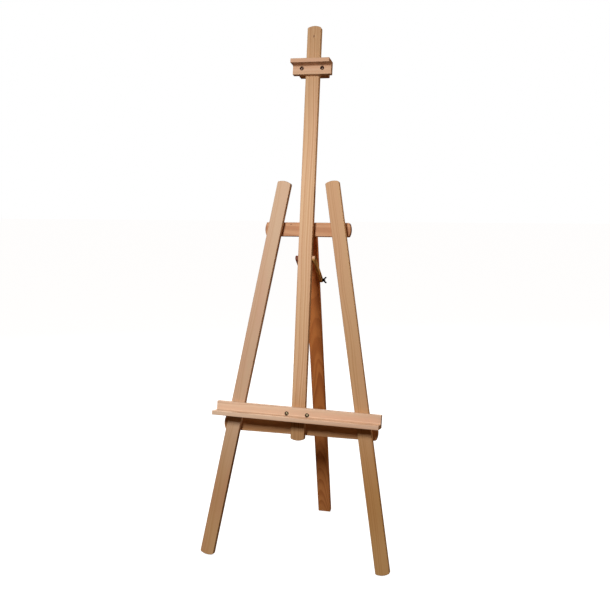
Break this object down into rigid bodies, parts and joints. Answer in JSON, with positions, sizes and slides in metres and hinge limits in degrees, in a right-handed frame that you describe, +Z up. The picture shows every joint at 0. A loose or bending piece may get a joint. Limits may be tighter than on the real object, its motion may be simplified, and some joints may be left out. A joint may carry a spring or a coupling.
{
  "type": "artist easel",
  "caption": "Folding wooden artist easel: splayed front legs, central mast, hinged rear leg with slotted stay, sliding canvas tray and top canvas holder.",
  "frame": {"origin": "on the floor, in the middle of the box round the open easel", "axes": "+Z up along the height, +X to the easel's left-to-right seen from the front, the front (canvas side) looks along -Y and the rear leg stands at +Y"},
  "size_m": [0.6402, 0.4726, 1.7498],
  "materials": {
    "leg_wood": "satin oiled beech, pinkish tan",
    "mast_wood": "satin oiled pine with straight orange grain",
    "crossbar_wood": "satin oiled alder, orange tan",
    "rear_leg_wood": "satin oiled pine, red brown",
    "tray_wood": "satin oiled beech, pale pinkish tan",
    "holder_wood": "satin oiled beech",
    "block_wood": "satin oiled beech, end blocks",
    "stay_wood": "satin oiled pine",
    "bolt_metal": "dark bronzed steel",
    "washer_metal": "zinc plated steel",
    "nut_metal": "black oxide",
    "hinge_metal": "zinc plated steel",
    "screw_metal": "yellow passivated steel"
  },
  "bodies": {
    "frame": {"left_leg": "leg_wood", "right_leg": "leg_wood", "mast": "mast_wood", "upper_crossbar": "crossbar_wood", "lower_crossbar": "crossbar_wood", "upper_crossbar_screws": "screw_metal", "lower_crossbar_screws": "screw_metal", "hinge_bar_leaf": "hinge_metal", "hinge_pin": "hinge_metal", "hinge_bar_screws": "screw_metal", "stay_pivot_pin": "hinge_metal"},
    "rear_leg": {"rear_leg": "rear_leg_wood", "hinge_leg_leaf": "hinge_metal", "hinge_leg_screws": "screw_metal", "stay_bolt": "bolt_metal", "stay_washers": "washer_metal"},
    "stay": {"left_stay_arm": "stay_wood", "right_stay_arm": "stay_wood"},
    "tray": {"tray": "tray_wood", "tray_back_block": "block_wood", "tray_left_bolt": "bolt_metal", "tray_right_bolt": "bolt_metal", "tray_washers": "washer_metal"},
    "holder": {"holder": "holder_wood", "holder_back_block": "block_wood", "holder_left_bolt": "bolt_metal", "holder_right_bolt": "bolt_metal", "holder_washers": "washer_metal"},
    "stay_wing_nut": {"stay_wing_nut": "nut_metal"},
    "tray_left_wing_nut": {"tray_left_wing_nut": "nut_metal"},
    "tray_right_wing_nut": {"tray_right_wing_nut": "nut_metal"},
    "holder_left_wing_nut": {"holder_left_wing_nut": "nut_metal"},
    "holder_right_wing_nut": {"holder_right_wing_nut": "nut_metal"}
  },
  "joints": [
    {"name": "rear_leg_fold", "type": "hinge", "parent": "frame", "child": "rear_leg", "pos_m": [0, -0.00169, 1.08521], "axis": [-1, 0, 0], "range_deg": [0, 21.2]},
    {"name": "stay_swing", "type": "hinge", "parent": "frame", "child": "stay", "pos_m": [0, -0.05039, 0.98982], "axis": [-1, 0, 0], "range_deg": [0, 30.81]},
    {"name": "tray_slide", "type": "slide", "parent": "frame", "child": "tray", "axis": [0, 0.1736, 0.9848], "range_m": [-0.005, 0.38]},
    {"name": "holder_slide", "type": "slide", "parent": "frame", "child": "holder", "axis": [0, 0.1736, 0.9848], "range_m": [-0.46, 0.12]},
    {"name": "stay_nut_spin", "type": "hinge", "parent": "rear_leg", "child": "stay_wing_nut", "pos_m": [0.035, 0.04718, 0.90762], "axis": [1, 0, 0], "continuous": true},
    {"name": "tray_left_nut_spin", "type": "hinge", "parent": "tray", "child": "tray_left_wing_nut", "pos_m": [-0.03369, -0.1066, 0.48101], "axis": [0, 0.9848, -0.1736], "continuous": true},
    {"name": "tray_right_nut_spin", "type": "hinge", "parent": "tray", "child": "tray_right_wing_nut", "pos_m": [0.03529, -0.10683, 0.4797], "axis": [0, 0.9848, -0.1736], "continuous": true},
    {"name": "holder_left_nut_spin", "type": "hinge", "parent": "holder", "child": "holder_left_wing_nut", "pos_m": [-0.0315, 0.09026, 1.59744], "axis": [0, 0.9848, -0.1736], "continuous": true},
    {"name": "holder_right_nut_spin", "type": "hinge", "parent": "holder", "child": "holder_right_wing_nut", "pos_m": [0.0375, 0.09011, 1.59661], "axis": [0, 0.9848, -0.1736], "continuous": true}
  ],
  "couplings": [
    {"joint": "stay_swing", "follows": "rear_leg_fold", "ratio": 1.4525}
  ]
}
